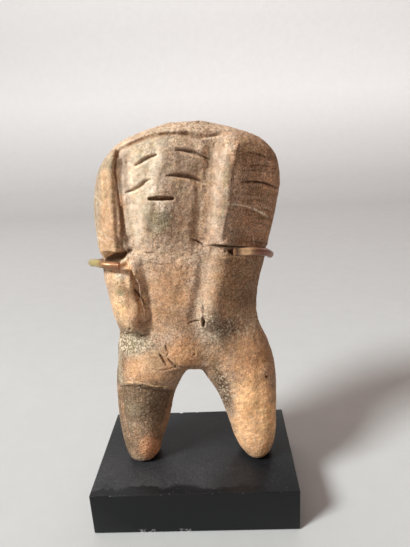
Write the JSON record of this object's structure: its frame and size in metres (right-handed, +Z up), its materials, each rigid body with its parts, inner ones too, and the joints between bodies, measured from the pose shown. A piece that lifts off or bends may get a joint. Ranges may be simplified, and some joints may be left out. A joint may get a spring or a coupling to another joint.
{
  "type": "valdivia figurine",
  "caption": "Small standing figurine of fired clay with a thick cap of hair and incised face, held by a bent brass wire on a black stone block.",
  "frame": {"origin": "middle of the plinth's underside, which is also the middle of the bounding box's bottom", "axes": "+Z up, the tallest extent; the figure faces -Y, and +X is the viewer's right"},
  "size_m": [0.06, 0.04, 0.1134],
  "materials": {
    "fired_clay": "matt unglazed, with dark fire clouds and pale crust",
    "black_stone": "honed to a soft polish, dusty",
    "brass": "bare, tarnished"
  },
  "bodies": {
    "root": {"figurine": "fired_clay", "plinth": "black_stone", "brass_mount": "brass"}
  },
  "joints": []
}
